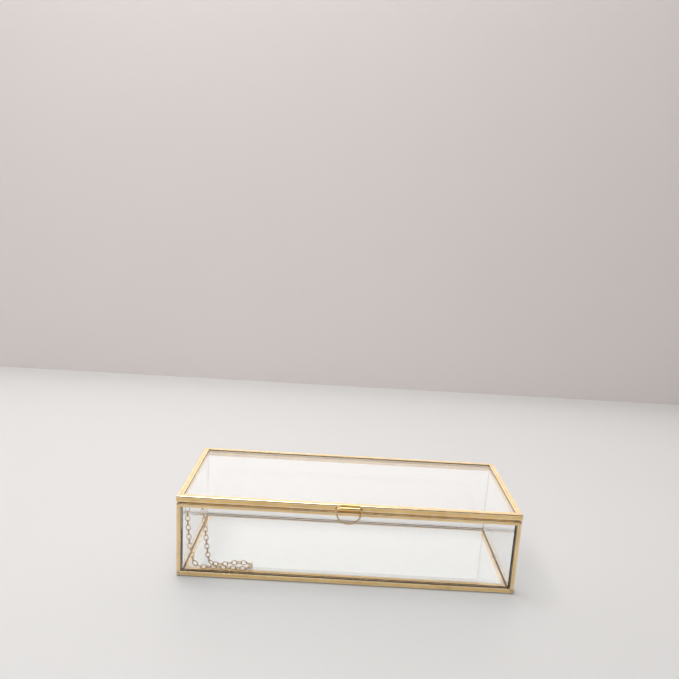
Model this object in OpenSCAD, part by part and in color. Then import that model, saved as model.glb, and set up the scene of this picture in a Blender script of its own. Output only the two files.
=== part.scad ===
// Clear glass jewelry box with brass edging, a hinged glass lid, a ring pull and a lid stay chain.
// Millimetres. +X to the right, +Y to the back, +Z up. The origin is the middle of the underside.

/* [Box] */
// Outside width of the closed box
box_w = 200; // [150:1:300]
// Outside depth of the closed box
box_d = 100; // [80:1:200]
// Outside height with the lid closed
box_h = 50; // [40:1:90]

/* [Glass] */
// Thickness of every pane
glass_t = 3; // [2:0.1:4]
// Width of the clear bond between the side panes and the back pane
bond_t = 0.2; // [0.1:0.05:0.5]

/* [Brass edging] */
// Thickness of the brass sheet
sheet_t = 0.4; // [0.3:0.05:0.6]
// Face width of the front posts and of the rails round the rim
rim_face = 2.4; // [1.8:0.1:4]
// Height of the rails round the base
base_face = 3.1; // [2:0.1:5]
// Width of the flanges that the base pane lies on, from the box's sides and back
base_flange_w = 6; // [4.5:0.1:9]
// Width of the ledge behind the front channel, under the base pane's front edge
front_ledge_w = 6; // [2:0.1:8]
// Width of the lid's edging, seen from above
lid_rail_w = 3.5; // [2.5:0.1:5]
// Gap between the lid and the rim
lid_gap = 0.4; // [0.35:0.05:0.8]

/* [Hinge] */
// Diameter of the hinge rod
rod_d = 1.4; // [1:0.1:2]
// Outside diameter of the hinge tube
tube_d = 2.5; // [2.2:0.1:3.5]
// Radial running clearance of the tube on the rod
hinge_play = 0.05; // [0.02:0.01:0.1]
// Bend radius of the rod's two ends
rod_bend_r = 1.5; // [1.2:0.1:3]
// Distance of the rod's bent ends from the box's sides
rod_inset = 2; // [1.5:0.1:3]
// Distance of the tube's ends from the box's sides
tube_inset = 4.5; // [4.2:0.1:12]

/* [Ring pull] */
// Outside width of the D-shaped ring
ring_w = 15.8; // [12:0.1:24]
// Wire diameter of the ring
ring_wire_d = 0.9; // [0.7:0.05:1.4]
// Drop from the ring's bar to the centre of its bow
ring_shoulder = 1.7; // [1.4:0.1:4]
// How far the ring has slid to the left in its tab
ring_slid = 0.5; // [0:0.1:0.6]
// Width of the curled tab
tab_w = 11.2; // [8:0.1:11.4]
// How far the tab is lapped over the lid
tab_lap = 1.6; // [1:0.1:3]
// Radial clearance of the ring's bar in the tab
ring_play = 0.08; // [0.03:0.01:0.1]

/* [Chain] */
// Outside length of a link
link_len = 4; // [3.6:0.1:4.4]
// Outside width of a link
link_w = 3; // [2.6:0.1:3.2]
// Wire diameter of a link
link_wire_d = 0.52; // [0.45:0.01:0.55]
// Slack where one link hangs in the next
link_play = 0.06; // [0.03:0.01:0.1]

/* [Hidden] */

left = -box_w / 2;
front = -box_d / 2;
channel_t = glass_t + 2 * sheet_t;       // outside thickness of a channel that holds a pane
lid_z = box_h - channel_t;               // underside of the lid
rim_z = lid_z - lid_gap;                 // top of the rim
floor_z = sheet_t + glass_t;             // top of the base pane
glass_x = left + sheet_t;                // outer face of the left pane
glass_y = front + sheet_t;               // outer face of the front pane
inner_front = front + channel_t;         // rear face of the front channels
pane_top = rim_z - sheet_t;
gold = "#d4a668";
clear = [0.90, 0.96, 0.95, 0.35];

hinge_z = box_h - channel_t / 2;
tube_flat = 0.15;                        // how much of the tube is flattened where it meets the rail
hinge_y = -front + tube_d / 2 - tube_flat;
rod_leg_x = -left - rod_inset;
rod_foot_z = rim_z - rim_face + 0.2;      // lower end of the rod's bent ends
solder_w = 3;                            // width of the solder round each end
solder_clear = 0.1;                      // how far the solder stays inside the rim rail's height

curl_t = 0.5;                            // thickness of the tab's strip where it is curled
curl_slot = 0.5;                         // width of the curl's open slot
tab_x = 0.1 - tab_w / 2;                 // the tab sits a little right of the middle
curl_bore_r = ring_wire_d / 2 + ring_play;
curl_r = curl_bore_r + curl_t;
pull_y = front - curl_r;
pull_z = box_h - channel_t / 2;
ring_r = (ring_w - ring_wire_d) / 2;     // bow radius on the wire's centre line
ring_corner_r = 1.05;
ring_straight = ring_r - ring_corner_r;

// ---- lid stay chain, from the staple in the box to the eye under the lid
eye_wire_d = 0.5;
staple_half = 1.25;                      // from the staple's middle to the centre line of its legs
staple_corner_r = 0.45;
staple_x = left + 5.5;
staple_bar_y = inner_front + 2.05;
staple_z = rim_z - 1.2;
eye_r = 1.25;
eye_y = inner_front + 1.9;
eye_z = lid_z - eye_r - 0.35;
eye_strip_w = 3;
eye_strip_t = 0.3;
hook_play = 0.065;                       // slack where the chain hangs in the staple and in the eye
lie_gap = 0.08;                          // clearance of the lying links over the base pane
pitch = link_len - 2 * link_wire_d - link_play;
hook_gap = eye_wire_d / 2 + hook_play;   // from an eye's wire centre to the end of the pitch line
lie_z = floor_z + (link_w - link_wire_d) / 2 * sin(45) + link_wire_d / 2 + lie_gap;
start = [staple_x, staple_bar_y, staple_z + hook_gap];
end_y = eye_y;
end_z = eye_z - eye_r + hook_gap;

// Each run of the chain is straight: [links, azimuth, elevation, roll]. The runs lie in a loop on the
// base pane, and between them single links take up the bends.
function height(run) = run[0] * pitch * sin(run[2]);
function height_of(runs, k) = k < 0 ? 0 : height_of(runs, k - 1) + height(runs[k]);
function along(run) = [cos(run[2]) * cos(run[1]), cos(run[2]) * sin(run[1]), sin(run[2])];
top_runs = [[4, 0, -88.5, 0], [5, 0, -85.5, 0]];
foot_runs = [[1, -5, -46, -15], [1, -10, -16, -30]];
floor_runs = [
  [4, 6, 0, -45], [5, -3, 0, -45], [1, 32, 0, -45], [1, 72, 0, -45], [1, 112, 0, -45], [1, 150, 0, -45],
  [2, 180, 0, -45], [3, 205, 0, -45], [2, 182, 0, -45]
];
rising_runs = [[1, 190, 40, -30], [1, 196, 74, -15], [4, -127, 82, -53], [5, -127, 82, -53]];

// the third run reaches down to the links that lie on the pane
drop = start[2] - lie_z + height_of(top_runs, 1) + height_of(foot_runs, 1);
drop_links = ceil(drop / pitch / 0.99);
drop_run = [drop_links, 5, -asin(drop / (drop_links * pitch)), 0];
most_runs = concat(top_runs, [drop_run], foot_runs, floor_runs, rising_runs);

// the last run reaches up to the lid's eye
function reached(runs, k) = k < 0 ? start : reached(runs, k - 1) + runs[k][0] * pitch * along(runs[k]);
last_from = reached(most_runs, len(most_runs) - 1);
climb = end_z - last_from[2];
last_links = ceil(climb / pitch / 0.99);
last_tilt = asin(climb / (last_links * pitch));
last_turn = asin((end_y - last_from[1]) / (last_links * pitch * cos(last_tilt)));
runs = concat(most_runs, [[last_links, -180 - last_turn, last_tilt, -48]]);
eye_x = reached(runs, len(runs) - 1)[0];
function links_before(k) = k == 0 ? 0 : links_before(k - 1) + runs[k - 1][0];

// ---- shared shapes

// a box between two corners
module block(a, b) {
  translate(a) cube(b - a);
}

// the solid left of the middle, copied to the right
module both_sides() {
  children();
  mirror([1, 0, 0]) children();
}

// everything in front of the 45 degree mitre planes of a rear side that runs along X
module back_mitre() {
  reach = 20;
  translate([0, -front, -1]) linear_extrude(box_h + 2)
    polygon([[left, 0], [-left, 0], [-left - reach, -reach], [left + reach, -reach]]);
}

// a wire of this diameter along +Z
module wire(d, length) {
  cylinder(d = d, h = length, $fn = 48);
}

// a bent wire: part of a ring round Z, starting on +X
module bend(r, d, angle) {
  rotate_extrude(angle = angle, $fn = 96) translate([r, 0]) circle(d = d, $fn = 48);
}

// ---- glass

module base_pane() color(clear)
  block([glass_x, inner_front, sheet_t], [-glass_x, -glass_y, floor_z]);

module front_pane() color(clear)
  block([glass_x, glass_y, sheet_t], [-glass_x, glass_y + glass_t, pane_top]);

module back_pane() color(clear)
  block([glass_x, -glass_y - glass_t, floor_z], [-glass_x, -glass_y, pane_top]);

module left_pane() color(clear)
  block([glass_x, inner_front, floor_z], [glass_x + glass_t, -glass_y - glass_t - bond_t, pane_top]);

module right_pane() mirror([1, 0, 0]) left_pane();

module corner_bonds() color([0.8, 0.85, 0.83, 0.6]) both_sides()
  block([glass_x, -glass_y - glass_t - bond_t, floor_z], [glass_x + glass_t, -glass_y - glass_t, pane_top]);

// ---- front frame: channels mitred at the four corners

module front_bottom_rail() color(gold) {
  intersection() {
    union() {
      block([left, front, 0], [-left, front + sheet_t, base_face]);
      block([left, front, 0], [-left, inner_front, sheet_t]);
      block([left, inner_front - sheet_t, 0], [-left, inner_front, base_face]);
    }
    rotate([90, 0, 0]) linear_extrude(2 * box_d, center = true)
      polygon([[left, 0], [-left, 0], [-left - rim_face, base_face], [left + rim_face, base_face]]);
  }
  block([left + base_flange_w, inner_front, 0],
        [-left - base_flange_w, inner_front + front_ledge_w, sheet_t]);
}

module front_top_rail() color(gold) intersection() {
  union() {
    block([left, front, rim_z - rim_face], [-left, front + sheet_t, rim_z]);
    block([left, front, pane_top], [-left, inner_front, rim_z]);
    block([left, inner_front - sheet_t, rim_z - rim_face], [-left, inner_front, rim_z]);
  }
  rotate([90, 0, 0]) linear_extrude(2 * box_d, center = true)
    polygon([[left, rim_z], [-left, rim_z], [-left - rim_face, rim_z - rim_face],
             [left + rim_face, rim_z - rim_face]]);
}

module front_left_post() color(gold) intersection() {
  union() {
    block([left, front, 0], [left + rim_face, front + sheet_t, rim_z]);
    block([left, front, 0], [left + sheet_t, inner_front, rim_z]);
    block([left, inner_front - sheet_t, 0], [left + rim_face, inner_front, rim_z]);
  }
  rotate([90, 0, 0]) linear_extrude(2 * box_d, center = true)
    polygon([[left, 0], [left + rim_face, base_face], [left + rim_face, rim_z - rim_face], [left, rim_z]]);
}

module front_right_post() mirror([1, 0, 0]) front_left_post();

// ---- base rails: angles outside the bottom edges

module left_base_rail() color(gold) difference() {
  union() {
    block([left, inner_front, 0], [left + sheet_t, -front, base_face]);
    block([left, inner_front, 0], [left + base_flange_w, -front, sheet_t]);
  }
  back_mitre();
}

module right_base_rail() mirror([1, 0, 0]) left_base_rail();

module back_base_rail() color(gold) intersection() {
  union() {
    block([left, -front - sheet_t, 0], [-left, -front, base_face]);
    block([left, -front - base_flange_w, 0], [-left, -front, sheet_t]);
  }
  back_mitre();
}

// ---- rim rails: channels that cap the panes

module left_top_rail() color(gold) difference() {
  union() {
    block([left, inner_front, rim_z - rim_face], [left + sheet_t, -front, rim_z]);
    block([left, inner_front, pane_top], [left + channel_t, -front, rim_z]);
    block([left + channel_t - sheet_t, inner_front, rim_z - rim_face], [left + channel_t, -front, rim_z]);
  }
  back_mitre();
}

module right_top_rail() mirror([1, 0, 0]) left_top_rail();

module back_top_rail() color(gold) intersection() {
  union() {
    block([left, -front - sheet_t, rim_z - rim_face], [-left, -front, rim_z]);
    block([left, -front - channel_t, pane_top], [-left, -front, rim_z]);
    block([left, -front - channel_t, rim_z - rim_face], [-left, -front - channel_t + sheet_t, rim_z]);
  }
  back_mitre();
}

// ---- hinge: a tube on the lid turns on a rod whose bent ends are soldered to the rim

module hinge_rod() color(gold) {
  both_sides() {
    translate([0, hinge_y, hinge_z]) rotate([0, 90, 0]) wire(rod_d, rod_leg_x - rod_bend_r);
    translate([rod_leg_x - rod_bend_r, hinge_y, hinge_z - rod_bend_r]) rotate([90, 0, 0])
      bend(rod_bend_r, rod_d, 90);
    translate([rod_leg_x, hinge_y, rod_foot_z]) wire(rod_d, hinge_z - rod_bend_r - rod_foot_z);
  }
}

module rod_solder() color("#b8a088") both_sides() difference() {
  block([rod_leg_x - solder_w / 2, -front, rim_z - rim_face + solder_clear],
        [rod_leg_x + solder_w / 2, hinge_y, rim_z - solder_clear]);
  translate([rod_leg_x, hinge_y, 0]) wire(rod_d, box_h);
}

module hinge_tube() color(gold) difference() {
  translate([left + tube_inset, hinge_y, hinge_z]) rotate([0, 90, 0]) wire(tube_d, box_w - 2 * tube_inset);
  translate([left, hinge_y, hinge_z]) rotate([0, 90, 0]) wire(rod_d + 2 * hinge_play, box_w);
  block([left, 0, 0], [-left, -front, box_h]);
}

// ---- lid: a pane in four mitred channels

module lid_rail_x() intersection() {
  union() {
    block([left, -front - sheet_t, lid_z], [-left, -front, box_h]);
    block([left, -front - lid_rail_w, lid_z], [-left, -front, lid_z + sheet_t]);
    block([left, -front - lid_rail_w, box_h - sheet_t], [-left, -front, box_h]);
  }
  back_mitre();
}

module lid_back_rail() color(gold) lid_rail_x();

module lid_front_rail() color(gold) mirror([0, 1, 0]) lid_rail_x();

module lid_left_rail() color(gold) difference() {
  union() {
    block([left, front, lid_z], [left + sheet_t, -front, box_h]);
    block([left, front, lid_z], [left + lid_rail_w, -front, lid_z + sheet_t]);
    block([left, front, box_h - sheet_t], [left + lid_rail_w, -front, box_h]);
  }
  back_mitre();
  mirror([0, 1, 0]) back_mitre();
}

module lid_right_rail() mirror([1, 0, 0]) lid_left_rail();

module lid_pane() color(clear)
  block([glass_x, glass_y, lid_z + sheet_t], [-glass_x, -glass_y, box_h - sheet_t]);

// ---- ring pull

// a strip lapped over the lid's front edge and curled round the ring's bar, open towards the lower front
module pull_tab() color(gold) translate([tab_x, 0, 0]) difference() {
  union() {
    block([0, front - sheet_t, box_h], [tab_w, front + tab_lap, box_h + sheet_t]);
    block([0, front - sheet_t, pull_z], [tab_w, front, box_h + sheet_t]);
    translate([0, pull_y, pull_z]) rotate([0, 90, 0]) wire(2 * curl_r, tab_w);
  }
  translate([-1, pull_y, pull_z]) rotate([0, 90, 0]) wire(2 * curl_bore_r, tab_w + 2);
  translate([-1, pull_y, pull_z]) rotate([45, 0, 0])
    block([0, -2 * curl_r, -curl_slot / 2], [tab_w + 2, 0, curl_slot / 2]);
}

module pull_ring() color(gold) translate([-ring_slid, pull_y, pull_z]) rotate([-90, 0, 0]) {
  translate([-ring_straight, 0, 0]) rotate([0, 90, 0]) wire(ring_wire_d, 2 * ring_straight);
  both_sides() {
    translate([ring_straight, ring_corner_r, 0]) rotate([0, 0, -90]) bend(ring_corner_r, ring_wire_d, 90);
    translate([ring_r, ring_corner_r, 0]) rotate([-90, 0, 0])
      wire(ring_wire_d, ring_shoulder - ring_corner_r);
  }
  translate([0, ring_shoulder, 0]) bend(ring_r, ring_wire_d, 180);
}

// ---- chain

// a square wire staple soldered into the front rim rail
module chain_staple() color(gold) translate([staple_x, 0, staple_z]) {
  corner_x = staple_half - staple_corner_r;
  corner_y = staple_bar_y - staple_corner_r;
  both_sides() {
    translate([staple_half, inner_front, 0]) rotate([-90, 0, 0]) wire(eye_wire_d, corner_y - inner_front);
    translate([corner_x, corner_y, 0]) bend(staple_corner_r, eye_wire_d, 90);
    translate([0, staple_bar_y, 0]) rotate([0, 90, 0]) wire(eye_wire_d, corner_x);
  }
}

// a strip under the lid's front rail with a loop below its rear end
module lid_chain_eye() color(gold) {
  block([eye_x - eye_strip_w / 2, front + 1, lid_z - eye_strip_t],
        [eye_x + eye_strip_w / 2, eye_y + 0.4, lid_z]);
  translate([eye_x, eye_y, eye_z]) rotate([90, 0, 0]) rotate_extrude($fn = 96)
    translate([eye_r, 0]) circle(d = eye_wire_d, $fn = 48);
}

// one link along +X, lying in XY, with its first pivot at the origin
module link() {
  end_r = (link_w - link_wire_d) / 2;
  side = (link_len - link_w) / 2;
  translate([pitch / 2, 0, 0]) {
    translate([side, 0, 0]) rotate([0, 0, -90]) bend(end_r, link_wire_d, 180);
    translate([-side, 0, 0]) rotate([0, 0, 90]) bend(end_r, link_wire_d, 180);
    for (y = [-end_r, end_r]) translate([-side, y, 0]) rotate([0, 90, 0]) wire(link_wire_d, 2 * side);
  }
}

// a straight run of links, each a quarter turn from the one before
module chain_run(k) color(gold) {
  run = runs[k];
  translate(reached(runs, k - 1)) rotate([run[3], -run[2], run[1]])
    for (i = [0 : run[0] - 1])
      translate([i * pitch, 0, 0]) rotate([90 * ((links_before(k) + i) % 2), 0, 0]) link();
}

base_pane();
front_pane();
back_pane();
left_pane();
right_pane();
corner_bonds();
front_bottom_rail();
front_top_rail();
front_left_post();
front_right_post();
left_base_rail();
right_base_rail();
back_base_rail();
left_top_rail();
right_top_rail();
back_top_rail();
hinge_rod();
rod_solder();
chain_staple();
lid_pane();
lid_front_rail();
lid_back_rail();
lid_left_rail();
lid_right_rail();
hinge_tube();
pull_tab();
lid_chain_eye();
pull_ring();
chain_run(0);  // chain_01
chain_run(1);  // chain_02
chain_run(2);  // chain_03
chain_run(3);  // chain_04
chain_run(4);  // chain_05
chain_run(5);  // chain_06
chain_run(6);  // chain_07
chain_run(7);  // chain_08
chain_run(8);  // chain_09
chain_run(9);  // chain_10
chain_run(10);  // chain_11
chain_run(11);  // chain_12
chain_run(12);  // chain_13
chain_run(13);  // chain_14
chain_run(14);  // chain_15
chain_run(15);  // chain_16
chain_run(16);  // chain_17
chain_run(17);  // chain_18
chain_run(18);  // chain_19
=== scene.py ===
# %% [markdown]
# # A clear glass jewelry box edged in brass
#
# The box is a cage of thin folded brass strips with a glass pane in each face. The imported model fixes
# where every piece is. This lesson gives each piece the surface that a camera sees: rounded folds, a
# hand-made waver, soft solder and polished metal. The model comes in first.

# %% The fixed frame
import math
import bpy
import numpy as np
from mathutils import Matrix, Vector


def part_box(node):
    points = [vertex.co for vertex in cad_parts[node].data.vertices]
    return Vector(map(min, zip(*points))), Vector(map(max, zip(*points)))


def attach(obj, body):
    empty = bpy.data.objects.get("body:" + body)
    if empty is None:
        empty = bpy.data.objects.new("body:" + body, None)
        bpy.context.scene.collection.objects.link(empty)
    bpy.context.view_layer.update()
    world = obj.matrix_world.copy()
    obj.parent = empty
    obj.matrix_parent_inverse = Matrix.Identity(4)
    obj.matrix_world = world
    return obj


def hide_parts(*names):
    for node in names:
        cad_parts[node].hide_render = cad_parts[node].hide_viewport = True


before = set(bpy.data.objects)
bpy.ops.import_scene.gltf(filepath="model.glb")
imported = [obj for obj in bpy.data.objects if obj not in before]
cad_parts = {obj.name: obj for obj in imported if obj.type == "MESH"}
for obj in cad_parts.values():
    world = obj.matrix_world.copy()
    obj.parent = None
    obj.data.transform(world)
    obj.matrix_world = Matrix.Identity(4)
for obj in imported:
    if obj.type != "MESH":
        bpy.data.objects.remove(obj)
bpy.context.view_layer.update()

MM = 0.001
print("nodes in the frame:", len(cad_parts))

# %% [markdown]
# The sizes that the looks need are read from the frame: the outside of the box, the brass sheet, the
# depth of the channels and the heights of the rails. Nothing is measured twice, so the pieces below
# always meet.

# %% Sizes read from the frame
def low(node):
    """Lowest corner of a node, as an array."""
    return np.array(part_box(node)[0])


def high(node):
    """Highest corner of a node, as an array."""
    return np.array(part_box(node)[1])


SIDE = high("front_bottom_rail")[0]                       # half the width
FRONT, BACK = low("front_bottom_rail")[1], high("back_base_rail")[1]
SHEET = low("base_pane")[2]                               # thickness of the brass
DEEP = high("front_top_rail")[1] - FRONT                  # depth of a channel round a pane
RIM_FACE = high("front_left_post")[0] + SIDE              # face width of the posts and the rim
BASE_FACE = high("front_bottom_rail")[2]
RIM = high("front_top_rail")[2]
LID_LOW, LID_TOP = low("lid_front_rail")[2], high("lid_front_rail")[2]
LID_RAIL = high("lid_front_rail")[1] - FRONT
INNER_FRONT = FRONT + DEEP
LEDGE = high("front_bottom_rail")[1] - FRONT              # how far the underside ledge reaches back
print("half width %.1f, front %.1f, back %.1f, rim %.1f, lid top %.1f mm"
      % tuple(v / MM for v in (SIDE, FRONT, BACK, RIM, LID_TOP)))

# %% [markdown]
# ## Brass, glass and solder
#
# Polished brass is never one flat tone. Handling leaves faint clouds, polishing leaves hair lines, and
# the folds get a painted highlight, a paler tone where light would catch them. One shader node group
# makes those three effects, so that the sheet, the wire and the chain share them, each with its own
# strength.

# %% A shared node group for hand-polished metal with a painted edge highlight
def link_in(tree, node, name, value):
    """Sets an input, given by name or index, to a value, or links another node's output to it."""
    socket = node.inputs[name]
    if isinstance(value, bpy.types.NodeSocket):
        tree.links.new(value, socket)
    else:
        socket.default_value = value


def noise(tree, vector, scale, detail=2.0, rough=0.5):
    """A noise texture's value, from 0 to 1, on the given coordinates."""
    node = tree.nodes.new("ShaderNodeTexNoise")
    link_in(tree, node, "Vector", vector)
    link_in(tree, node, "Scale", scale)
    link_in(tree, node, "Detail", detail)
    link_in(tree, node, "Roughness", rough)
    return node.outputs["Fac"]


def spread(tree, value, low_in, high_in, low_out=0.0, high_out=1.0):
    """Maps one range of values to another, and holds the ends."""
    node = tree.nodes.new("ShaderNodeMapRange")
    for name, v in (("Value", value), ("From Min", low_in), ("From Max", high_in),
                    ("To Min", low_out), ("To Max", high_out)):
        link_in(tree, node, name, v)
    return node.outputs["Result"]


def blend_colour(tree, amount, first, second):
    """Mixes two colours."""
    node = tree.nodes.new("ShaderNodeMix")
    node.data_type = "RGBA"
    for index, v in ((0, amount), (6, first), (7, second)):
        link_in(tree, node, index, v)
    return node.outputs[2]


def maths(tree, what, a, b=0.0):
    """One arithmetic step."""
    node = tree.nodes.new("ShaderNodeMath")
    node.operation = what
    for index, v in ((0, a), (1, b)):
        link_in(tree, node, index, v)
    return node.outputs[0]


def stretched(tree, vector, scale):
    """The same coordinates, stretched along each axis."""
    node = tree.nodes.new("ShaderNodeMapping")
    link_in(tree, node, "Vector", vector)
    node.inputs["Scale"].default_value = scale
    return node.outputs["Vector"]


def make_polish_and_edge_highlight():
    """Colour = clean metal, clouded by a slow noise and turned towards a painted highlight tone where the
    edge mask is high.
    Roughness = a base value plus the clouds and fine hair lines. Height = slow dents plus hair lines."""
    group = bpy.data.node_groups.new("polish_and_edge_highlight", "ShaderNodeTree")
    side = group.interface.new_socket
    side("Vector", in_out="INPUT", socket_type="NodeSocketVector")
    for name, start in (("Clean", (0.85, 0.6, 0.3, 1)), ("Clouded", (0.6, 0.36, 0.17, 1)),
                        ("Painted Highlight", (0.95, 0.78, 0.55, 1))):
        side(name, in_out="INPUT", socket_type="NodeSocketColor").default_value = start
    for name, start in (("Edge", 0.0), ("Clouds", 0.5), ("Roughness", 0.2)):
        side(name, in_out="INPUT", socket_type="NodeSocketFloat").default_value = start
    side("Colour", in_out="OUTPUT", socket_type="NodeSocketColor")
    side("Roughness", in_out="OUTPUT", socket_type="NodeSocketFloat")
    side("Height", in_out="OUTPUT", socket_type="NodeSocketFloat")
    got = group.nodes.new("NodeGroupInput").outputs
    out = group.nodes.new("NodeGroupOutput")
    cloud = spread(group, noise(group, got["Vector"], 90.0, 4.0, 0.6), 0.38, 0.68)
    hair = noise(group, stretched(group, got["Vector"], (1.0, 14.0, 14.0)), 900.0, 2.0, 0.6)
    dents = noise(group, got["Vector"], 160.0, 1.0)
    amount = maths(group, "MULTIPLY", cloud, got["Clouds"])
    colour = blend_colour(group, amount, got["Clean"], got["Clouded"])
    # Painted highlight: where the edge mask is high, the colour turns to a pale highlight tone.
    colour = blend_colour(group, got["Edge"], colour, got["Painted Highlight"])
    group.links.new(colour, out.inputs["Colour"])
    rough = maths(group, "ADD", got["Roughness"], maths(group, "MULTIPLY", amount, 0.16))
    rough = maths(group, "ADD", rough, spread(group, hair, 0.3, 0.7, -0.03, 0.04))
    group.links.new(rough, out.inputs["Roughness"])
    height = maths(group, "ADD", maths(group, "MULTIPLY", hair, 0.06), dents)
    group.links.new(height, out.inputs["Height"])
    return group


POLISH_AND_EDGE_HIGHLIGHT = make_polish_and_edge_highlight()
print("node group:", POLISH_AND_EDGE_HIGHLIGHT.name)

# %% [markdown]
# Each metal is a Principled shader fed by that group. The folds of the sheet pieces carry an attribute
# called edge, worked out with the mesh, which says how near a point is to a fold or a cut edge. There the
# sheet's colour is turned towards a painted highlight tone.

# %% The metals
def metal(name, clean, clouded, painted_highlight, clouds, roughness, dent, own_edges=False):
    """A polished metal: clean and clouded tones and a painted highlight tone, how cloudy it is, its base
    roughness and how deep its dents look, in metres."""
    made = bpy.data.materials.new(name)
    made.use_nodes = True
    tree = made.node_tree
    shader = tree.nodes["Principled BSDF"]
    shader.inputs["Metallic"].default_value = 1.0
    place = tree.nodes.new("ShaderNodeTexCoord").outputs["Object"]
    polish = tree.nodes.new("ShaderNodeGroup")
    polish.node_tree = POLISH_AND_EDGE_HIGHLIGHT
    link_in(tree, polish, "Vector", place)
    for socket, value in (("Clean", clean), ("Clouded", clouded), ("Painted Highlight", painted_highlight)):
        polish.inputs[socket].default_value = (*value, 1)
    polish.inputs["Clouds"].default_value = clouds
    polish.inputs["Roughness"].default_value = roughness
    if own_edges:
        # Painted highlight: the folds and cut edges come from the edge attribute. Broken up by a fine
        # noise, they are mixed towards the highlight tone.
        edge = tree.nodes.new("ShaderNodeAttribute")
        edge.attribute_name = "edge"
        highlight_breakup = spread(tree, noise(tree, place, 350.0, 3.0), 0.35, 0.6, 0.35, 1.0)
        link_in(tree, polish, "Edge", maths(tree, "MULTIPLY", edge.outputs["Fac"], highlight_breakup))
    tree.links.new(polish.outputs["Colour"], shader.inputs["Base Color"])
    tree.links.new(polish.outputs["Roughness"], shader.inputs["Roughness"])
    bump = tree.nodes.new("ShaderNodeBump")
    bump.inputs["Strength"].default_value = 1.0
    bump.inputs["Distance"].default_value = dent
    tree.links.new(polish.outputs["Height"], bump.inputs["Height"])
    tree.links.new(bump.outputs["Normal"], shader.inputs["Normal"])
    return made


# The third tone of each metal is a painted highlight. Only the sheet paints it, on its folds and cut
# edges.
BRASS_SHEET = metal("brass_sheet", (0.95, 0.66, 0.29), (0.62, 0.39, 0.15), (0.95, 0.80, 0.56),
                    0.5, 0.15, 0.04 * MM, own_edges=True)
BRASS_WIRE = metal("brass_wire", (0.84, 0.62, 0.37), (0.60, 0.41, 0.22), (0.95, 0.8, 0.6),
                   0.4, 0.14, 0.02 * MM)
CHAIN_WIRE = metal("chain_wire", (0.80, 0.58, 0.30), (0.50, 0.32, 0.14), (0.95, 0.8, 0.6),
                   0.5, 0.18, 0.015 * MM)
SOLDER = metal("solder", (0.80, 0.63, 0.48), (0.60, 0.43, 0.29), (0.9, 0.78, 0.68),
               0.6, 0.28, 0.12 * MM)
print("metals:", [m.name for m in (BRASS_SHEET, BRASS_WIRE, CHAIN_WIRE, SOLDER)])

# %% [markdown]
# Clear glass bends light by its refractive index and turns faintly green along its length. A real pane
# also lets lamp light through to what stands behind it. A path tracer can hardly find those paths, so a
# ray that only asks whether a lamp can be seen passes straight through, a little dimmed. Fine smears
# vary the roughness. The bond in the back corners is the same kind of glass with a greyer tint.

# %% The glass
def glass(name, tint, shade, smear):
    """Clear glass: a body tint, how much light a shadow ray keeps, and how rough its smears get."""
    made = bpy.data.materials.new(name)
    made.use_nodes = True
    tree = made.node_tree
    shader = tree.nodes["Principled BSDF"]
    shader.inputs["Base Color"].default_value = (*tint, 1)
    shader.inputs["Transmission Weight"].default_value = 1.0
    shader.inputs["IOR"].default_value = 1.5
    place = tree.nodes.new("ShaderNodeTexCoord").outputs["Object"]
    streak = noise(tree, stretched(tree, place, (1.0, 0.35, 1.0)), 60.0, 5.0, 0.6)
    link_in(tree, shader, "Roughness", spread(tree, streak, 0.45, 0.8, 0.0, smear))
    passing = tree.nodes.new("ShaderNodeBsdfTransparent")
    passing.inputs["Color"].default_value = (*shade, 1)
    choose = tree.nodes.new("ShaderNodeMixShader")
    ray = tree.nodes.new("ShaderNodeLightPath")
    tree.links.new(ray.outputs["Is Shadow Ray"], choose.inputs[0])
    tree.links.new(shader.outputs[0], choose.inputs[1])
    tree.links.new(passing.outputs[0], choose.inputs[2])
    tree.links.new(choose.outputs[0], tree.nodes["Material Output"].inputs["Surface"])
    return made


CLEAR_GLASS = glass("clear_glass", (0.996, 0.999, 0.998), (0.985, 0.99, 0.988), 0.04)
CLEAR_BOND = glass("clear_bond", (0.80, 0.83, 0.81), (0.8, 0.82, 0.81), 0.2)
print("glass:", CLEAR_GLASS.name, CLEAR_BOND.name)

# %% [markdown]
# ## From arrays to a mesh
#
# Every new surface is a grid of points, rows along the piece and columns round it. One helper turns such
# a grid into a mesh in a few array steps, closes it round the columns, and closes its ends with one face
# each or joins them for a ring.

# %% Grids into meshes
def mesh_from(name, points, faces, material, smooth_to=40.0):
    """A mesh object from points and faces, smooth across folds of less than smooth_to degrees."""
    data = bpy.data.meshes.new(name)
    data.from_pydata(points, [], faces)
    data.polygons.foreach_set("use_smooth", np.ones(len(data.polygons), bool))
    data.set_sharp_from_angle(angle=math.radians(smooth_to))
    data.materials.append(material)
    data.update()
    made = bpy.data.objects.new(name, data)
    bpy.context.scene.collection.objects.link(made)
    return made


def tube_faces(rows, columns, ring=False):
    """Quads of a grid that closes round its columns. A ring also closes along its rows; any other grid
    gets a face at each end."""
    r = np.arange(rows if ring else rows - 1)[:, None]
    c = np.arange(columns)[None, :]
    nxt_r, nxt_c = (r + 1) % rows, (c + 1) % columns
    quads = np.stack([r * columns + c, r * columns + nxt_c,
                      nxt_r * columns + nxt_c, nxt_r * columns + c], -1)
    faces = quads.reshape(-1, 4).tolist()
    if not ring:
        first = np.arange(columns)
        faces += [first[::-1].tolist(), (first + (rows - 1) * columns).tolist()]
    return faces


def outward(points, faces):
    """True if the faces of a closed mesh point outwards: the sum over the quads of their distance from
    the middle of the points, along the quad's normal and times its area, is then positive."""
    quads = np.array([f for f in faces if len(f) == 4])
    p = points[quads]
    area = np.cross(p[:, 2] - p[:, 0], p[:, 3] - p[:, 1])
    centre = points.mean(0)
    return float(((p.mean(1) - centre) * area).sum()) > 0


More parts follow.
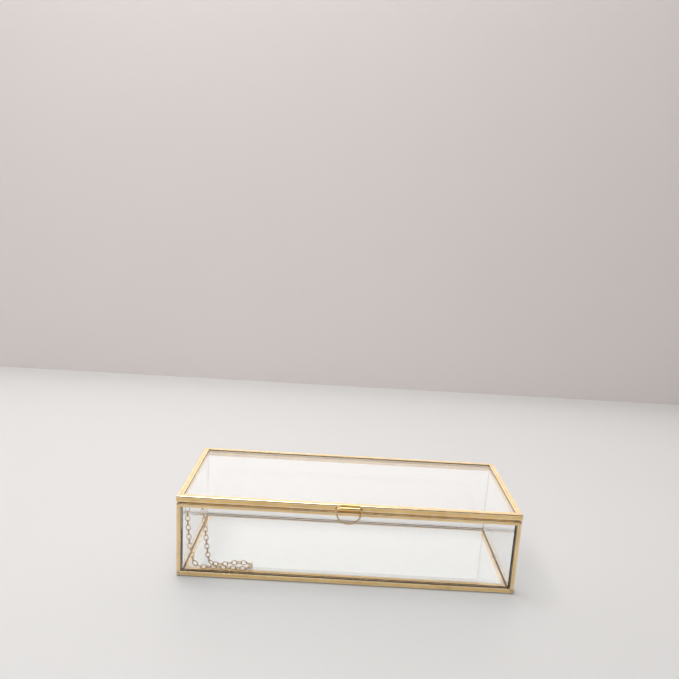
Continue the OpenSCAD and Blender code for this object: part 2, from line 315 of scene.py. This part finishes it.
def shell(name, grid, material, ring=False, edge=None, smooth_to=40.0):
    """A closed object from a (rows, columns, 3) grid, with its faces outwards, and with edge stored on
    its points when given."""
    rows, columns = grid.shape[:2]
    points = grid.reshape(-1, 3)
    faces = tube_faces(rows, columns, ring)
    if not outward(points, faces):
        faces = [f[::-1] for f in faces]
    made = mesh_from(name, points, faces, material, smooth_to)
    if edge is not None:
        layer = made.data.attributes.new("edge", "FLOAT", "POINT")
        values = np.broadcast_to(edge, (rows, columns)).reshape(-1).astype(np.float32)
        layer.data.foreach_set("value", values)
    return made


def settle(made, body, node=None):
    """Lets a piece ride on its body, and lets it stand for a node if one is given."""
    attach(made, body)
    if node:
        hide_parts(node)
    return made


print("a tube of 3 rows and 4 columns has", len(tube_faces(3, 4)), "faces")

# %% [markdown]
# ## Folded channels
#
# A rail is a strip of brass folded into a U or an L that holds the edge of a pane, and is cut at a
# slant at each end where it meets the next one. Its outline is drawn once as a few corners, each with
# its own radius, and is then carried along the rail. Each end is a plane across the outline, which gives
# the mitre.

# %% Outlines with rounded corners
def rounded(corners, radii, steps=5):
    """A closed outline whose corners are arcs. At a corner with unit directions d0 back and d1 on, and
    half the angle between them h, the arc starts r / tan(h) from the corner and its centre lies
    r / sin(h) away along the bisector. Returns the points and a mask that is 1 on the arcs."""
    out, mask = [], []
    corners = np.asarray(corners, float)
    for k, r in enumerate(radii):
        here, before, after = corners[k], corners[k - 1], corners[(k + 1) % len(corners)]
        d0 = (before - here) / np.linalg.norm(before - here)
        d1 = (after - here) / np.linalg.norm(after - here)
        h = math.acos(np.clip(d0 @ d1, -1, 1)) / 2
        centre = here + (d0 + d1) / np.linalg.norm(d0 + d1) * r / math.sin(h)
        a0 = here + d0 * r / math.tan(h) - centre
        a1 = here + d1 * r / math.tan(h) - centre
        t = np.linspace(0, 1, steps)[:, None]
        arc = a0 * (1 - t) + a1 * t
        out.append(centre + arc / np.linalg.norm(arc, axis=1)[:, None] * r)
        mask.append(np.ones(steps))
    return np.concatenate(out), np.concatenate(mask)


def with_flats(outline, mask, longest):
    """The same outline with points added along its straight stretches, none longer than longest."""
    out, edge = [], []
    for k in range(len(outline)):
        a, b = outline[k], outline[(k + 1) % len(outline)]
        n = max(1, math.ceil(np.linalg.norm(b - a) / longest))
        t = np.arange(n)[:, None] / n
        out.append(a * (1 - t) + b * t)
        edge.append(np.where(np.arange(n) == 0, mask[k], 0.0))
    return np.concatenate(out), np.concatenate(edge)


FOLD = 0.70 * MM                                          # outside radius of a fold
CUT = 0.11 * MM                                           # rounding of a cut edge
INNER_FOLD = 0.30 * MM                                    # inside radius of a fold
FLAT_STEP = 0.9 * MM                                      # longest step along a straight stretch


def u_outline(deep, legs):
    """A U with its web along the first axis from 0 to deep, and legs that rise from 0 to legs."""
    t = SHEET
    corners = [(0, 0), (deep, 0), (deep, legs), (deep - t, legs),
               (deep - t, t), (t, t), (t, legs), (0, legs)]
    radii = [FOLD, FOLD, CUT, CUT, INNER_FOLD, INNER_FOLD, CUT, CUT]
    return with_flats(*rounded(corners, radii), FLAT_STEP)


def l_outline(foot, leg):
    """An L with its foot along the first axis and its leg along the second, meeting at 0."""
    t = SHEET
    corners = [(0, 0), (foot, 0), (foot, t), (t, t), (t, leg), (0, leg)]
    return with_flats(*rounded(corners, [FOLD, CUT, CUT, INNER_FOLD, CUT, CUT]), FLAT_STEP)


print("points in a U:", len(u_outline(DEEP, RIM_FACE)[0]))

# %% [markdown]
# Strips folded by hand waver. The waver is a sum of a few slow sine waves along the rail, a few
# hundredths of a millimetre high, that dies away at the mitres so that the corners still meet.

# %% Carrying an outline along a rail
RAIL_WAVER = 0.035 * MM                                   # how far a strip leaves its line
LID_WAVER = 0.05 * MM
MITRE_FADE = 3 * MM                                       # stretch over which the waver dies away
WAVER_GAIN = 1.6                                          # makes up for waves that cancel out


def waver(along, length, seed, height):
    """Sum over five waves k of sin(2 pi along / wave_k + phase_k) / 5, times height and a fade to zero
    over the stretch beside each mitre."""
    rng = np.random.default_rng(seed)
    waves = rng.uniform(7, 45, 5) * MM
    phases = rng.uniform(0, 2 * np.pi, 5)
    total = np.sin(2 * np.pi * along[..., None] / waves + phases).sum(-1) / 5
    fade = np.clip(np.minimum(along, length - along) / MITRE_FADE, 0, 1)
    return total * height * fade * fade * (3 - 2 * fade) * WAVER_GAIN


def carry(name, outline, start, end, place, seed, spacing=1.6 * MM, height=RAIL_WAVER):
    """Carries an outline (a, b) from start(a, b) to end(a, b) along a rail. place(a, b, run) puts the
    rail's own coordinates into the frame."""
    ab, mask = outline
    a, b = ab[:, 0], ab[:, 1]
    first, last = start(a, b), end(a, b)
    length = float(np.max(last) - np.min(first))
    rows = max(2, int(length / spacing))
    t = np.linspace(0, 1, rows)[:, None]
    run = first * (1 - t) + last * t
    along = run - np.min(first)
    wa, wb = (waver(along, length, seed + k, height) for k in (0, 1))
    return shell(name, place(a + wa, b + wb, run), BRASS_SHEET, edge=mask)


def to_x(a, b, run):
    """A rail along X at the front: a goes back, b goes up."""
    return np.stack([run, FRONT + a, b + 0 * run], -1)


RAILS = []


def rail(name, body, node, *args, **more):
    """Carries a rail, lets it ride on its body, and lets it stand for its node."""
    RAILS.append(settle(carry(name, *args, **more), body, node))


print("a rail's waver is at most %.3f mm" % (RAIL_WAVER * WAVER_GAIN / MM))

# %% [markdown]
# ## The front frame
#
# Four channels frame the front pane like a picture frame. Their mitres run from each outer corner to the
# inner corner of the two face widths.

# %% The front frame
def posts_slope(z):
    """How far in from the side the mitre of the bottom corner is at a height."""
    return z * RIM_FACE / BASE_FACE


bottom_u, rim_u = u_outline(DEEP, BASE_FACE), u_outline(DEEP, RIM_FACE)
rail("front_bottom_channel", "box", "front_bottom_rail", bottom_u,
     lambda a, b: -SIDE + posts_slope(b), lambda a, b: SIDE - posts_slope(b), to_x, 10)
rail("front_top_channel", "box", "front_top_rail", rim_u,
     lambda a, b: -SIDE + b, lambda a, b: SIDE - b,
     lambda a, b, run: np.stack([run, FRONT + a, RIM - b], -1), 20)
for side, name in ((-1, "left"), (1, "right")):
    rail(f"front_{name}_channel", "box", f"front_{name}_post", rim_u,
         lambda a, b: b * BASE_FACE / RIM_FACE, lambda a, b: RIM - b,
         lambda a, b, run, s=side: np.stack([s * (SIDE - b), FRONT + a, run], -1), 30 + side)
print("front frame:", [r.name for r in RAILS])

# %% [markdown]
# The bottom channel also has a thin ledge behind it, under the front edge of the base pane, that shows
# through the glass as a band. It is flat and straight, so its outline is a thin slab with cut edges.

# %% The ledge under the base pane
ledge_in = -high("left_base_rail")[0]
ledge_outline = with_flats(*rounded([(INNER_FRONT, 0), (FRONT + LEDGE, 0), (FRONT + LEDGE, SHEET),
                                     (INNER_FRONT, SHEET)], [CUT] * 4), FLAT_STEP)
ledge = carry("front_ledge", ledge_outline,
              lambda a, b: -ledge_in + 0 * a, lambda a, b: ledge_in + 0 * a,
              lambda a, b, run: np.stack([run, a, b + 0 * run], -1), 40, height=0.01 * MM)
settle(ledge, "box")
print("ledge reaches %.1f mm back" % (LEDGE / MM))

# %% [markdown]
# ## The base and rim rails
#
# Along the sides and the back, an angle holds the bottom edge of the glass and a channel caps its top
# edge. The side rails butt against the front frame, and meet the back rails in a mitre.

# %% Base angles and rim channels
base_l = l_outline(high("left_base_rail")[0] - low("left_base_rail")[0], high("left_base_rail")[2])
for side, name in ((-1, "left"), (1, "right")):
    rail(f"{name}_base_angle", "box", f"{name}_base_rail", base_l,
         lambda a, b: INNER_FRONT + 0 * a, lambda a, b: BACK - a,
         lambda a, b, run, s=side: np.stack([s * (SIDE - a), run, b + 0 * run], -1), 50 + side)
    rail(f"{name}_rim_channel", "box", f"{name}_top_rail", rim_u,
         lambda a, b: INNER_FRONT + 0 * a, lambda a, b: BACK - a,
         lambda a, b, run, s=side: np.stack([s * (SIDE - a), run, RIM - b + 0 * run], -1), 60 + side)
rail("back_base_angle", "box", "back_base_rail", base_l, lambda a, b: -SIDE + a, lambda a, b: SIDE - a,
     lambda a, b, run: np.stack([run, BACK - a, b + 0 * run], -1), 70)
rail("back_rim_channel", "box", "back_top_rail", rim_u, lambda a, b: -SIDE + a, lambda a, b: SIDE - a,
     lambda a, b, run: np.stack([run, BACK - a, RIM - b + 0 * run], -1), 80)
print("rails so far:", len(RAILS))

# %% [markdown]
# ## The lid's edging
#
# Four channels open inwards and grip the lid's pane from above and below. The lid is the piece that the
# eye meets first, so its strips waver a little more.

# %% The lid's channels
def lying_u(height, reach):
    """A U on its side: a goes inwards from the closed web, b goes up between the two flanges."""
    points, mask = u_outline(height, reach)
    return points[:, ::-1].copy(), mask


lid_u = lying_u(LID_TOP - LID_LOW, LID_RAIL)
for y, sign, name in ((FRONT, 1, "front"), (BACK, -1, "back")):
    rail(f"lid_{name}_channel", "lid", f"lid_{name}_rail", lid_u,
         lambda a, b: -SIDE + a, lambda a, b: SIDE - a,
         lambda a, b, run, y=y, s=sign: np.stack([run, y + s * a, LID_LOW + b + 0 * run], -1),
         90 + sign, height=LID_WAVER)
for side, name in ((-1, "left"), (1, "right")):
    rail(f"lid_{name}_channel", "lid", f"lid_{name}_rail", lid_u,
         lambda a, b: FRONT + a, lambda a, b: BACK - a,
         lambda a, b, run, s=side: np.stack([s * (SIDE - a), run, LID_LOW + b + 0 * run], -1),
         95 + side, height=LID_WAVER)
print("rails:", len(RAILS))

# %% [markdown]
# ## Panes
#
# A pane is a flat slab whose long edges are ground a little, so that they catch a thin line of light.
# It sits a few hundredths of a millimetre inside its channels, as a real pane must.

# %% The panes
GROUND = 0.22 * MM                                        # width of the ground edge
SEAT_PLAY = 0.05 * MM                                     # gap between a pane and its channel
SLAB_FACES = [(0, 2, 3, 1), (4, 5, 7, 6), (0, 1, 5, 4), (2, 6, 7, 3), (0, 4, 6, 2), (1, 3, 7, 5)]


def pane(node, body):
    """A slab with ground edges that stands for a pane."""
    a, b = low(node) + SEAT_PLAY, high(node) - SEAT_PLAY
    points = np.array([[x, y, z] for x in (a[0], b[0]) for y in (a[1], b[1]) for z in (a[2], b[2])])
    made = mesh_from(f"{node}_glass", points, SLAB_FACES, CLEAR_GLASS, 20.0)
    if not outward(points, SLAB_FACES):
        made.data.flip_normals()
    ground = made.modifiers.new("ground edges", "BEVEL")
    ground.width = GROUND
    ground.segments = 1
    return settle(made, body, node)


PANES = [pane(node, body) for node, body in (
    ("base_pane", "box"), ("front_pane", "box"), ("back_pane", "box"), ("left_pane", "box"),
    ("right_pane", "box"), ("lid_pane", "lid"))]
print("panes:", [p.name for p in PANES])

# %% [markdown]
# ## Wire
#
# The ring pull is bent from round wire. A bent wire is a circle carried along a flat path: at each
# point the circle stands on the path's normal and on the normal of the plane that the path lies in.

# %% Bent wire
def arc(centre, radius, start, stop, steps):
    """Points on a circle, from one angle in degrees to another."""
    t = np.radians(np.linspace(start, stop, steps))
    return np.stack([centre[0] + radius * np.cos(t), centre[1] + radius * np.sin(t)], -1)


def wire(name, path, plane, radius, material, closed=False, around=16):
    """Point(s, t) = path(s) + radius (cos t times the path's normal + sin t times the plane's normal).
    path holds 3-D points that lie in one plane."""
    path = np.asarray(path, float)
    plane = np.asarray(plane, float)
    if closed:
        ahead = np.roll(path, -1, 0) - np.roll(path, 1, 0)
    else:
        ahead = np.gradient(path, axis=0)
    ahead = ahead / np.linalg.norm(ahead, axis=1)[:, None]
    normal = np.cross(plane, ahead)
    t = np.linspace(0, 2 * np.pi, around, endpoint=False)
    round_it = np.cos(t)[None, :, None] * normal[:, None] + np.sin(t)[None, :, None] * plane
    return shell(name, path[:, None] + radius * round_it, material, ring=closed, smooth_to=60.0)


print("a quarter turn in 3 points:", arc((0, 0), 1, 0, 90, 3).round(2).tolist())

# %% [markdown]
# ## The ring pull
#
# The ring is a D: a straight bar that turns in the curled tab, two small corners, and a half circle
# below. A ring that is bent by hand is never quite even, so its bow leaves the circle by a few
# hundredths of a millimetre.

# %% The ring
ring_lo, ring_hi = low("pull_ring"), high("pull_ring")
ring_wire = (ring_hi[1] - ring_lo[1]) / 2
ring_x = (ring_lo[0] + ring_hi[0]) / 2
ring_y = (ring_lo[1] + ring_hi[1]) / 2
bow = (ring_hi[0] - ring_lo[0]) / 2 - ring_wire
bar_z = ring_hi[2] - ring_wire
bow_z = ring_lo[2] + ring_wire + bow
turn = 1.05 * MM                                          # radius of the two small corners
out_of_true = 0.09 * MM                                   # how far the bow leaves its circle
d_path = np.concatenate([
    np.stack([np.linspace(-bow + turn, bow - turn, 24), np.full(24, bar_z)], -1)[:-1],
    arc((bow - turn, bar_z - turn), turn, 90, 0, 9)[:-1],
    arc((0, bow_z), bow, 0, -180, 60),
    arc((-bow + turn, bar_z - turn), turn, 180, 90, 9)[:-1]])
swing = np.arctan2(d_path[:, 1] - bow_z, d_path[:, 0])
below = np.clip((bow_z - d_path[:, 1]) / bow, 0, 1)
uneven = out_of_true * np.sin(3 * swing + 0.7) * below * (1 - below) * 4
d_path = d_path + uneven[:, None] * np.stack([np.cos(swing), np.sin(swing)], -1)
d_path[:, 0] += ring_x
ring_path = np.stack([d_path[:, 0], np.full(len(d_path), ring_y), d_path[:, 1]], -1)
ring = wire("ring", ring_path, (0, 1, 0), ring_wire, BRASS_WIRE, closed=True, around=20)
settle(ring, "ring", "pull_ring")
print("ring %.1f mm wide, %.1f mm tall"
      % ((ring_hi[0] - ring_lo[0]) / MM, (ring_hi[2] - ring_lo[2]) / MM))

# %% [markdown]
# ## The curled tab
#
# A strip of sheet is lapped over the lid's front edge, runs down its face, and is curled round the
# ring's bar. Seen from the side it is one line with a thickness: the line is offset by half the sheet
# to each side, and that outline is carried along the tab's width.

# %% The tab
def ribbon(path, thick):
    """The outline of a strip: a path of (a, b) points, offset by half its thickness along its normal on
    one side and back along the other. Its two ends are thinned to six tenths."""
    ahead = np.gradient(path, axis=0)
    normal = np.stack([-ahead[:, 1], ahead[:, 0]], -1) / np.linalg.norm(ahead, axis=1)[:, None]
    half = thick / 2 * np.ones(len(path))
    half[0] *= 0.6
    half[-1] *= 0.6
    outline = np.concatenate([path + normal * half[:, None], (path - normal * half[:, None])[::-1]])
    mask = np.zeros(len(outline))
    mask[[0, len(path) - 1, len(path), -1]] = 1
    return outline, mask


tab_lo, tab_hi = low("pull_tab"), high("pull_tab")
strip = tab_hi[2] - LID_TOP
curl = (ring_y - tab_lo[1]) - strip / 2                    # radius of the curl's middle line
front_line, top_line = FRONT - strip / 2, LID_TOP + strip / 2
bend_in = 0.30 * MM                                        # radius of the bend over the lid's edge
tab_path = np.concatenate([
    np.stack([np.linspace(tab_hi[1], front_line + bend_in, 8), np.full(8, top_line)], -1)[:-1],
    arc((front_line + bend_in, top_line - bend_in), bend_in, 90, 180, 6),
    [[front_line, bar_z + curl + 0.5 * MM], [front_line - 0.06 * MM, bar_z + curl + 0.2 * MM]],
    arc((ring_y, bar_z), curl, 58, 318, 44)])
tab = carry("curled_tab", ribbon(tab_path, strip),
            lambda a, b: tab_lo[0] + 0 * a, lambda a, b: tab_hi[0] + 0 * a,
            lambda a, b, run: np.stack([run, a, b + 0 * run], -1),
            120, spacing=0.5 * MM, height=0.03 * MM)
settle(tab, "lid", "pull_tab")
print("tab %.1f mm wide" % ((tab_hi[0] - tab_lo[0]) / MM))

# %% [markdown]
# ## Solder
#
# Solder is soft: it runs into a corner and freezes as a low dome. A dome is a flattened sphere whose
# radius wavers with two slow waves, set on the joint so that only its upper part shows.

# %% Domes of solder
POLE_GAP = 0.04                                           # angle left open at each pole, then capped


def dome(name, body, centre, size, seed):
    """Point(u, v) = centre + size * (cos u sin v, sin u sin v, cos v) * (1 + waves), with waves that
    vanish at the poles."""
    rng = np.random.default_rng(seed)
    v = np.linspace(POLE_GAP, np.pi - POLE_GAP, 17)[:, None]
    u = np.linspace(0, 2 * np.pi, 28, endpoint=False)[None, :]
    k = rng.uniform(0, 2 * np.pi, 3)
    waves = 0.10 * np.sin(2 * u + k[0]) * np.sin(v) + 0.07 * np.sin(3 * u + 2 * v + k[1]) * np.sin(v)
    unit = np.stack([np.cos(u) * np.sin(v), np.sin(u) * np.sin(v), np.cos(v) + 0 * u], -1)
    points = np.asarray(centre) + np.asarray(size) * unit * (1 + waves)[..., None]
    return settle(shell(name, points, SOLDER, smooth_to=80.0), body)


for side, name in ((-1, "left"), (1, "right")):
    dome(f"solder_front_base_{name}", "box",
         (side * (SIDE - 1.3 * MM), FRONT + 0.25 * MM, 1.5 * MM),
         (1.35 * MM, 0.42 * MM, 1.35 * MM), 200 + side)
    dome(f"solder_front_rim_{name}", "box",
         (side * (SIDE - 1.1 * MM), FRONT + 0.28 * MM, RIM - 1.0 * MM),
         (1.0 * MM, 0.36 * MM, 0.9 * MM), 210 + side)
    for end, y, seed in (("front", FRONT + 1.4 * MM, 220), ("back", BACK - 1.4 * MM, 230)):
        dome(f"solder_lid_{end}_{name}", "lid",
             (side * (SIDE - 1.4 * MM), y, LID_TOP - 0.25 * MM),
             (1.2 * MM, 1.2 * MM, 0.36 * MM), seed + side)
print("solder domes on the corners: 8")

# %% [markdown]
# ## The CAD pieces that keep their shape
#
# The hinge tube, the rod, the chain and its two eyes are plain round wire and tube, and the frame holds
# them exactly. They only need their finish.

# %% Finishes for the carried-over nodes
def finish_node(node, material):
    """Gives a CAD node's object one material."""
    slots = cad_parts[node].material_slots
    for slot in slots:
        slot.material = material
    if not slots:
        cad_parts[node].data.materials.append(material)


CHAIN = sorted(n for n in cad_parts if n.startswith("chain_") and n != "chain_staple")
for node in CHAIN:
    finish_node(node, CHAIN_WIRE)
for node in ("hinge_rod", "chain_staple", "lid_chain_eye", "hinge_tube"):
    finish_node(node, BRASS_WIRE)
finish_node("rod_solder", SOLDER)
finish_node("corner_bonds", CLEAR_BOND)
print("chain pieces:", len(CHAIN))

# %% [markdown]
# ## Floor, wall, light and camera
#
# The box stands on a plain pale floor before a plain warm wall. Each is one flat face, staged so that it
# is not part of the model, and painted in a matte tone that drifts a little.

# %% Floor and wall
def plain(name, colour, roughness):
    """A matte paint whose tone drifts by a hair, so that it is not dead flat."""
    made = bpy.data.materials.new(name)
    made.use_nodes = True
    tree = made.node_tree
    shader = tree.nodes["Principled BSDF"]
    place = tree.nodes.new("ShaderNodeTexCoord").outputs["Object"]
    drift = noise(tree, place, 4.0, 3.0)
    darker = tuple(0.96 * c for c in colour)
    tree.links.new(blend_colour(tree, drift, (*colour, 1), (*darker, 1)), shader.inputs["Base Color"])
    shader.inputs["Roughness"].default_value = roughness
    return made


def sheet_of(name, corners, material):
    """A flat four-cornered backdrop."""
    data = bpy.data.meshes.new(name)
    data.from_pydata(corners, [], [(0, 1, 2, 3)])
    data.materials.append(material)
    made = bpy.data.objects.new(name, data)
    bpy.context.scene.collection.objects.link(made)
    return made


WALL_Y = 0.52
sheet_of("floor", [(-3, -3, 0), (3, -3, 0), (3, WALL_Y, 0), (-3, WALL_Y, 0)],
         plain("pale_floor", (0.66, 0.655, 0.65), 0.5))
sheet_of("wall", [(-3, WALL_Y, 0), (3, WALL_Y, 0), (3, WALL_Y, 2.5), (-3, WALL_Y, 2.5)],
         plain("warm_wall", (0.90, 0.835, 0.81), 0.8))
print("the wall stands %.2f m behind the middle of the box" % WALL_Y)

# %% [markdown]
# Three area lamps light the box. A soft one overhead lights the floor, and a fill from behind the camera
# lifts the wall and is kept out of reflections. A long window low on the wall is what the lid and the
# upper flanges mirror, and the camera cannot see it directly. The overhead lamp and the fill are hidden
# from rays that have come through glass. Shadow rays already carry their light through the panes, and it
# would be counted twice on the floor inside the box. The sky is dark at eye level behind the camera, and
# that gives the folds a dark line.

# %% Light
def soft_lamp(name, place, aim, size, watts, colour=(1, 1, 1)):
    """A square area lamp at a place, facing a point: its side is in metres, its power in watts."""
    data = bpy.data.lights.new(name, "AREA")
    data.size = size
    data.energy = watts
    data.color = colour
    made = bpy.data.objects.new(name, data)
    made.location = place
    direction = made.location - type(made.location)(aim)
    made.rotation_euler = direction.to_track_quat("Z", "Y").to_euler()
    bpy.context.scene.collection.objects.link(made)
    return made


overhead = soft_lamp("overhead", (-0.25, 0.10, 1.2), (0, 0.06, 0), 0.7, 8.3)
overhead.visible_transmission = False
fill = soft_lamp("fill", (-0.5, -0.9, 1.3), (0, WALL_Y, 0.4), 0.8, 5.5)
fill.visible_glossy = False
fill.visible_transmission = False
window = soft_lamp("window", (0.0, WALL_Y - 0.02, 0.26), (0, 0, 0.26), 1.3, 0.75,
                   (1.0, 0.99, 0.97))
window.data.shape = "RECTANGLE"
window.data.size_y = 0.3
window.visible_camera = False


def studio_sky():
    """A world that is bright overhead and dims to a dark band at eye level on the camera's side:
    strength = a soft step of the direction's height, darker where the direction's y is negative."""
    made = bpy.data.worlds.new("studio")
    made.use_nodes = True
    tree = made.node_tree
    aim = tree.nodes.new("ShaderNodeSeparateXYZ")
    tree.links.new(tree.nodes.new("ShaderNodeTexCoord").outputs["Generated"], aim.inputs[0])
    above = spread(tree, aim.outputs["Z"], 0.78, 0.95, 0.14, 1.1)
    behind = spread(tree, aim.outputs["Y"], -0.1, 0.3, 0.0, 0.85)
    back = tree.nodes["Background"]
    back.inputs["Color"].default_value = (1.0, 0.99, 0.975, 1)
    tree.links.new(maths(tree, "MAXIMUM", above, behind), back.inputs["Strength"])
    return made


bpy.context.scene.world = studio_sky()
bpy.context.scene.view_settings.view_transform = "Standard"
print("lamps:", [lamp.name for lamp in (overhead, fill, window)])

# %% [markdown]
# The camera stands about half a metre in front of the box and a hand's length above its lid. It looks
# down by sixteen degrees and leans a little to one side. A shift of the lens puts the box low in the
# frame without tilting the view further.

# %% Camera
def turned(yaw, pitch, roll):
    """The camera's axes as columns, right, up and back. Yaw is clockwise from +Y, pitch is down, and roll
    turns the camera anticlockwise about the way it looks, all in degrees."""
    y, p, r = (math.radians(v) for v in (yaw, pitch, roll))
    ahead = np.array([math.sin(y) * math.cos(p), math.cos(y) * math.cos(p), -math.sin(p)])
    right = np.array([math.cos(y), -math.sin(y), 0.0])
    up = np.cross(right, ahead)
    right, up = right * math.cos(r) + up * math.sin(r), up * math.cos(r) - right * math.sin(r)
    return np.column_stack([right, up, -ahead])


YAW, PITCH, ROLL = 0.51, 15.98, 3.37                      # degrees
EYE = (-0.0121, -0.4936, 0.2130)                          # metres
camera = bpy.data.cameras.new("camera")
camera.sensor_width = 36.0
camera.lens = 43.46
camera.shift_y = 0.155
stand = bpy.data.objects.new("camera", camera)
matrix = np.eye(4)
matrix[:3, :3] = turned(YAW, PITCH, ROLL)
matrix[:3, 3] = EYE
stand.matrix_world = matrix.T.tolist()
bpy.context.scene.collection.objects.link(stand)
bpy.context.scene.camera = stand
print("camera %.3f m from the origin" % np.linalg.norm(EYE))
